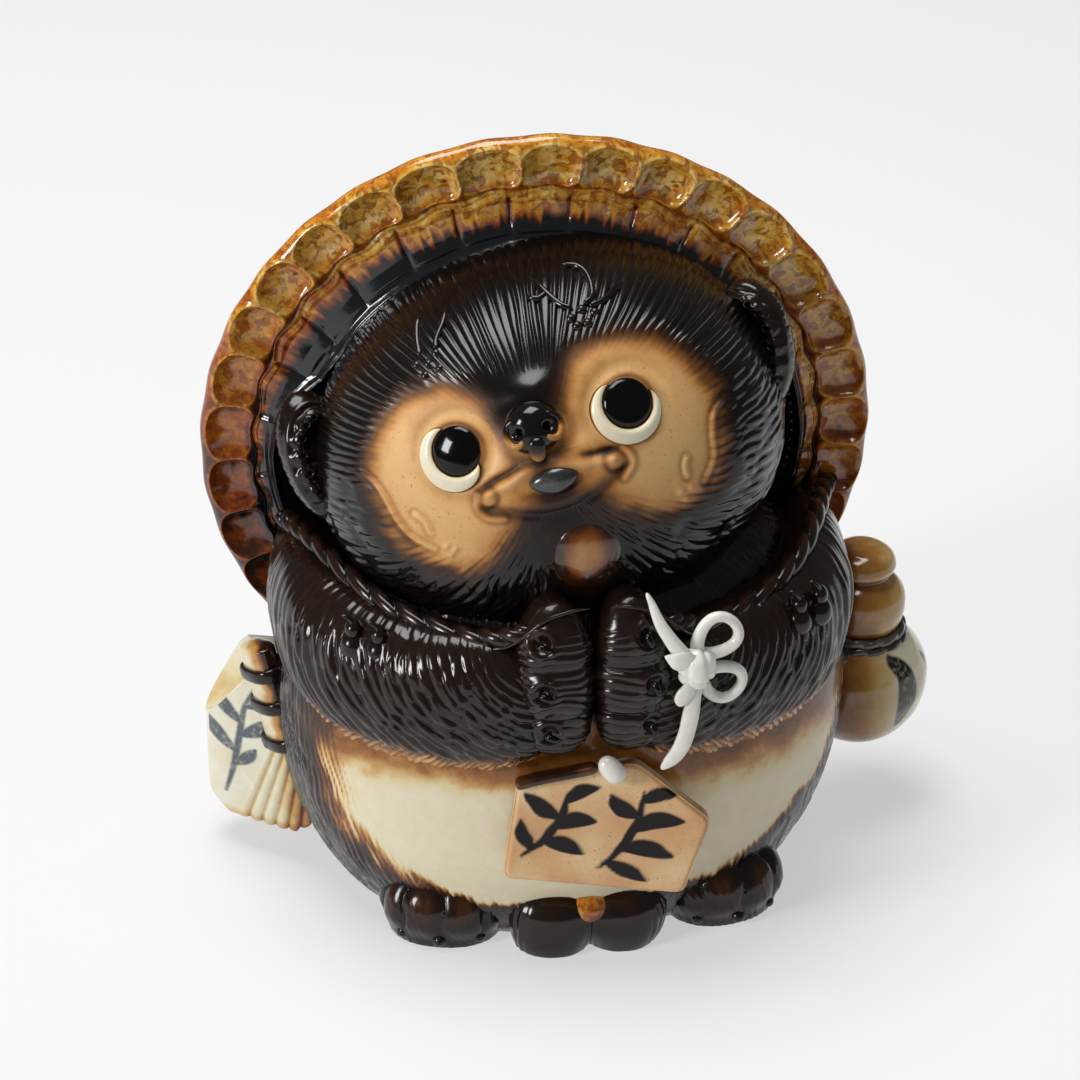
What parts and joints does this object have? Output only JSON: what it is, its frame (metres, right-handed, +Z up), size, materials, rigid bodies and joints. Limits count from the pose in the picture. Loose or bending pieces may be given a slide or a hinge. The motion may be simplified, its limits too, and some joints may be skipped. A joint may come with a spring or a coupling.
{
  "type": "tanuki statue",
  "caption": "Seated tanuki ornament in glazed stoneware with a round hat behind its head, clasped paws, a votive tablet on a bow, a flask and an account book.",
  "frame": {"origin": "on the flat foot that the statue stands on, under the axis of the body", "axes": "+Z up, -Y towards the front where the paws and the tablet are, +X to the viewer's right, where the flask hangs"},
  "size_m": [0.246, 0.1886, 0.2547],
  "materials": {
    "dark_glaze": "glossy tenmoku-style glaze over carved fur",
    "black_glaze": "glossy black glaze",
    "cream_glaze": "clear cream glaze shading to brown at its edges",
    "amber_glaze": "honey amber glaze broken with dark red-brown",
    "bare_clay": "unglazed tan clay with a soft sprayed edge",
    "white_slip": "satin white slip, worn brown at its edges",
    "grey_glaze": "grey-black glaze"
  },
  "bodies": {
    "root": {"torso_shell": "dark_glaze", "belly_panel": "cream_glaze", "base_slab": "bare_clay", "head_shell": "dark_glaze", "face_mask": "bare_clay", "left_ear": "dark_glaze", "right_ear": "dark_glaze", "left_eye_ring": "cream_glaze", "right_eye_ring": "cream_glaze", "left_pupil": "black_glaze", "right_pupil": "black_glaze", "nose": "dark_glaze", "lips": "bare_clay", "mouth": "black_glaze", "chin_knob": "amber_glaze", "hat_crown": "amber_glaze", "hat_band": "amber_glaze", "hat_rim": "amber_glaze", "chin_cord": "dark_glaze", "left_arm": "dark_glaze", "right_arm": "dark_glaze", "left_paw": "dark_glaze", "right_paw": "dark_glaze", "paw_claws": "black_glaze", "left_foot": "dark_glaze", "right_foot": "dark_glaze", "foot_claws": "black_glaze", "pouch": "dark_glaze", "pouch_boss": "amber_glaze", "tail": "dark_glaze", "flask_bulb": "cream_glaze", "flask_neck": "cream_glaze", "flask_cord": "grey_glaze", "book_block": "cream_glaze", "book_spine": "amber_glaze", "book_ties": "black_glaze", "tablet": "bare_clay", "tablet_eave": "dark_glaze", "tablet_peg": "white_slip", "bow": "white_slip", "bow_knot": "white_slip", "brow_sprigs": "dark_glaze", "shoulder_gourds": "dark_glaze"}
  },
  "joints": []
}
